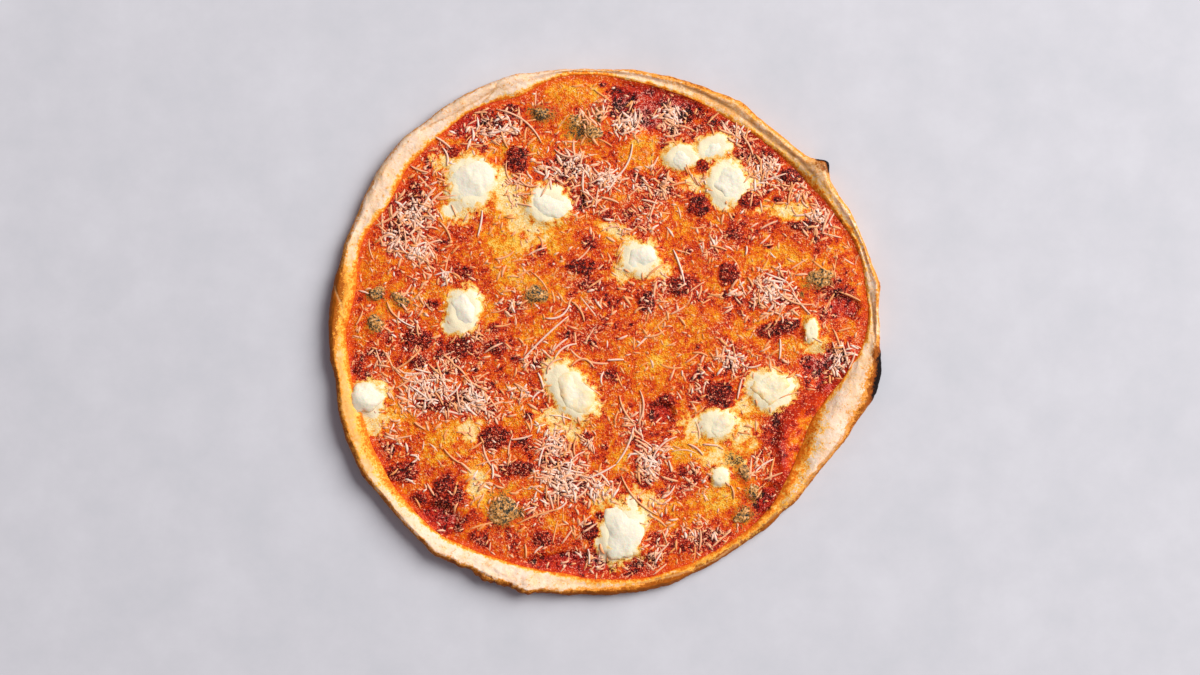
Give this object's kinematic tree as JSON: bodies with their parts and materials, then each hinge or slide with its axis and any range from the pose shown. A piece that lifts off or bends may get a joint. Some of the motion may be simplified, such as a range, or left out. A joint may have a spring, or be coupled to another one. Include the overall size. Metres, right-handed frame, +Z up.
{
  "type": "four cheese pizza",
  "caption": "Whole round thin-crust pizza with a browned uneven rim, tomato sauce, melted mozzarella, goat cheese lumps, blue cheese crumbs and shredded parmesan.",
  "frame": {"origin": "on the flat underside, under the middle of the bounding box", "axes": "+Z up out of the topping, +Y the far side and +X the right side as the pizza is seen from above in the picture"},
  "size_m": [0.2992, 0.2852, 0.0131],
  "materials": {
    "crust": "baked dough, cream to golden brown",
    "tomato_sauce": "baked tomato sauce, moist",
    "melted_mozzarella": "melted cheese with oil, browned in spots",
    "parmesan": "fine dry shreds",
    "goat_cheese": "soft crumbly white cheese",
    "blue_cheese": "crumbly cheese with blue-green mould"
  },
  "bodies": {
    "root": {"crust": "crust", "tomato_sauce": "tomato_sauce", "melted_mozzarella": "melted_mozzarella", "goat_cheese_01": "goat_cheese", "goat_cheese_02": "goat_cheese", "goat_cheese_03": "goat_cheese", "goat_cheese_04": "goat_cheese", "goat_cheese_05": "goat_cheese", "goat_cheese_06": "goat_cheese", "goat_cheese_07": "goat_cheese", "goat_cheese_08": "goat_cheese", "goat_cheese_09": "goat_cheese", "goat_cheese_10": "goat_cheese", "goat_cheese_11": "goat_cheese", "goat_cheese_12": "goat_cheese", "goat_cheese_13": "goat_cheese", "goat_cheese_14": "goat_cheese", "blue_cheese_01": "blue_cheese", "blue_cheese_02": "blue_cheese", "blue_cheese_03": "blue_cheese", "blue_cheese_04": "blue_cheese", "blue_cheese_05": "blue_cheese", "blue_cheese_06": "blue_cheese", "blue_cheese_07": "blue_cheese", "blue_cheese_08": "blue_cheese", "blue_cheese_09": "blue_cheese", "blue_cheese_10": "blue_cheese", "blue_cheese_11": "blue_cheese", "blue_cheese_12": "blue_cheese"}
  },
  "joints": []
}
